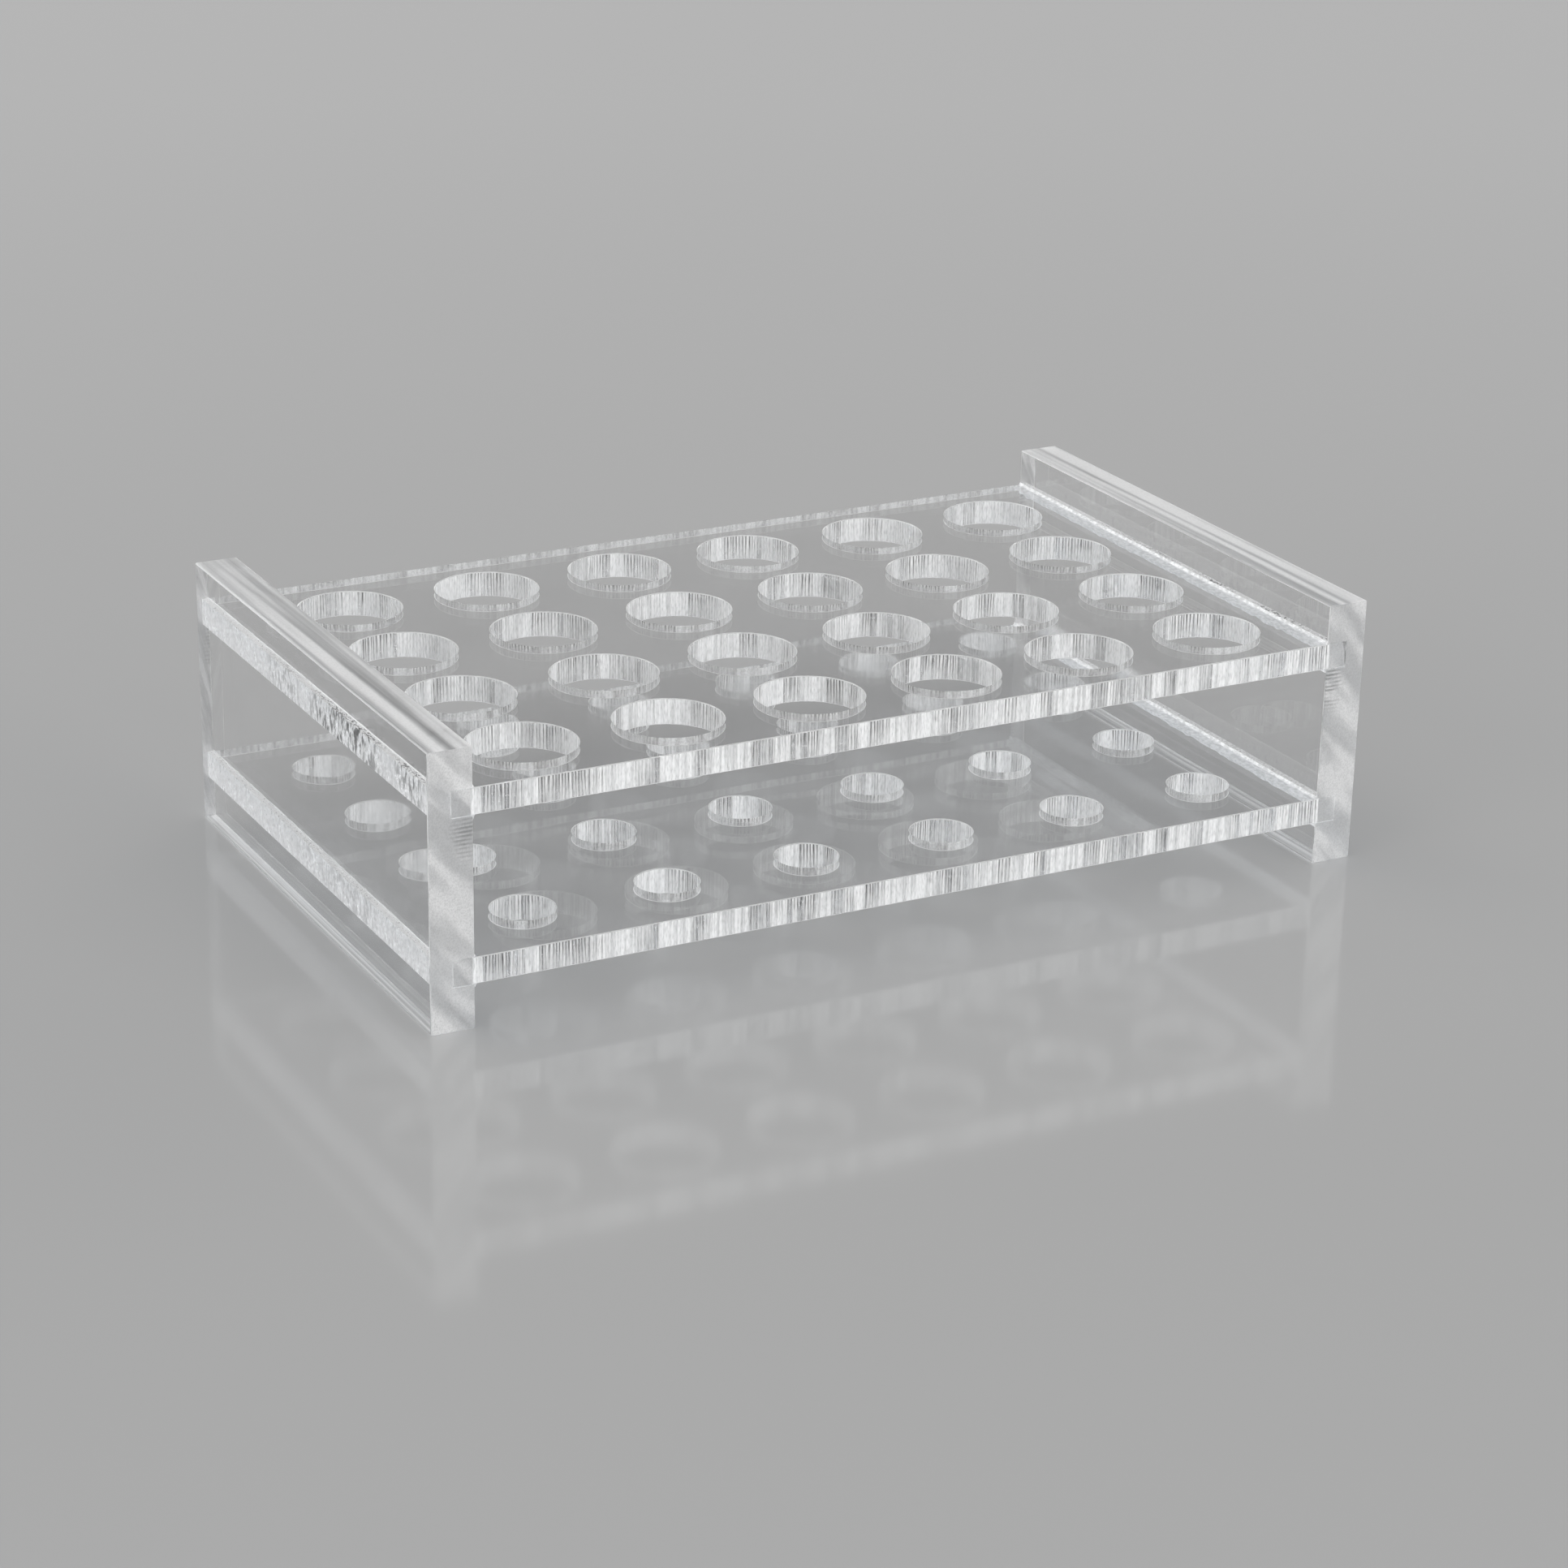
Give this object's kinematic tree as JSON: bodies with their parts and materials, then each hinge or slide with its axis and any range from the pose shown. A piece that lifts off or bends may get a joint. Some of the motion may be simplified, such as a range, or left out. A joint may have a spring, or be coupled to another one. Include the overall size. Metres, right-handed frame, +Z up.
{
  "type": "microcentrifuge tube rack",
  "caption": "Low rack of clear acrylic sheet: end plates carry an upper shelf with large tube holes over a lower shelf with small holes for the tube tips.",
  "frame": {"origin": "on the standing surface, below the middle of the rack", "axes": "+X along the length, from the left to the right end plate; +Y from the front long edge to the back one; +Z up"},
  "size_m": [0.1146, 0.0676, 0.0312],
  "materials": {
    "sawn_acrylic": "clear and polished on the faces, sawn and satin on the edges",
    "laser_cut_acrylic": "clear and polished on the faces, cut edges and hole walls glossy with fine upright striations"
  },
  "bodies": {
    "root": {"left_end_plate": "sawn_acrylic", "right_end_plate": "sawn_acrylic", "upper_shelf": "laser_cut_acrylic", "lower_shelf": "laser_cut_acrylic"}
  },
  "joints": []
}
